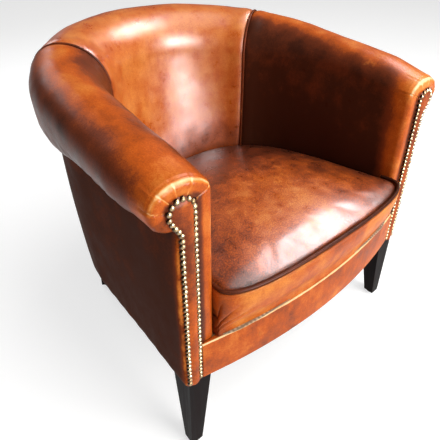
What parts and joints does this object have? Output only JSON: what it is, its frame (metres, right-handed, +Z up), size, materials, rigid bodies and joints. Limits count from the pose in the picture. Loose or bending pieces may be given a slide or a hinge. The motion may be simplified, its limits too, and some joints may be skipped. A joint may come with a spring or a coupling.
{
  "type": "club chair",
  "caption": "Low tub chair: padded arms and back in one rolled shell, fixed seat, tapered legs; for one person to sit in.",
  "frame": {"origin": "on the floor, at the middle of the chair's width and depth", "axes": "+Z up, the sitter faces -Y, +X to the sitter's left"},
  "size_m": [0.76, 0.7558, 0.716],
  "materials": {
    "shell_leather": "worn cognac leather, satin, darker and mottled where it is handled",
    "seat_leather": "worn leather, darker red-brown with rubbed golden patches",
    "piping_leather": "dark leather piping",
    "brass_nails": "antique brass domed nails",
    "leg_wood": "dark stained hardwood, satin lacquer",
    "frame_wood": "unfinished beech",
    "padding": "foam with wadding",
    "webbing": "jute webbing and hessian",
    "lining": "black non-woven lining",
    "glide_metal": "dark nail-on glide"
  },
  "bodies": {
    "root": {"inside_arm_leather_left": "shell_leather", "inside_arm_leather_right": "shell_leather", "inside_back_leather": "shell_leather", "outside_arm_leather_left": "shell_leather", "outside_arm_leather_right": "shell_leather", "outside_back_leather": "shell_leather", "front_rail_strip": "shell_leather", "seat_front_band": "shell_leather", "arm_facing_left": "shell_leather", "arm_facing_right": "shell_leather", "seam_piping_left": "piping_leather", "seam_piping_right": "piping_leather", "seat_piping": "piping_leather", "inside_arm_pad_left": "padding", "inside_arm_pad_right": "padding", "arm_roll_pad_left": "padding", "arm_roll_pad_right": "padding", "inside_back_pad": "padding", "back_roll_pad": "padding", "seat_foam": "padding", "arm_front_post_left": "frame_wood", "arm_front_post_right": "frame_wood", "scroll_board_left": "frame_wood", "scroll_board_right": "frame_wood", "arm_top_rail_left": "frame_wood", "arm_top_rail_right": "frame_wood", "back_top_rail": "frame_wood", "side_rail_left": "frame_wood", "side_rail_right": "frame_wood", "back_rail": "frame_wood", "back_upright_outer_left": "frame_wood", "back_upright_outer_right": "frame_wood", "back_upright_inner_left": "frame_wood", "back_upright_inner_right": "frame_wood", "front_rail": "frame_wood", "front_corner_block_left": "frame_wood", "front_corner_block_right": "frame_wood", "rear_corner_block_left": "frame_wood", "rear_corner_block_right": "frame_wood", "front_leg_left": "leg_wood", "front_leg_right": "leg_wood", "rear_leg_left": "leg_wood", "rear_leg_right": "leg_wood", "front_glide_left": "glide_metal", "front_glide_right": "glide_metal", "rear_glide_left": "glide_metal", "rear_glide_right": "glide_metal", "seat_top_leather": "seat_leather", "webbing_lengthwise_1": "webbing", "webbing_lengthwise_2": "webbing", "webbing_lengthwise_3": "webbing", "webbing_lengthwise_4": "webbing", "webbing_crosswise_1": "webbing", "webbing_crosswise_2": "webbing", "webbing_crosswise_3": "webbing", "seat_deck": "webbing", "dust_cover": "lining", "nail_trim_left": "brass_nails", "nail_trim_right": "brass_nails"}
  },
  "joints": []
}
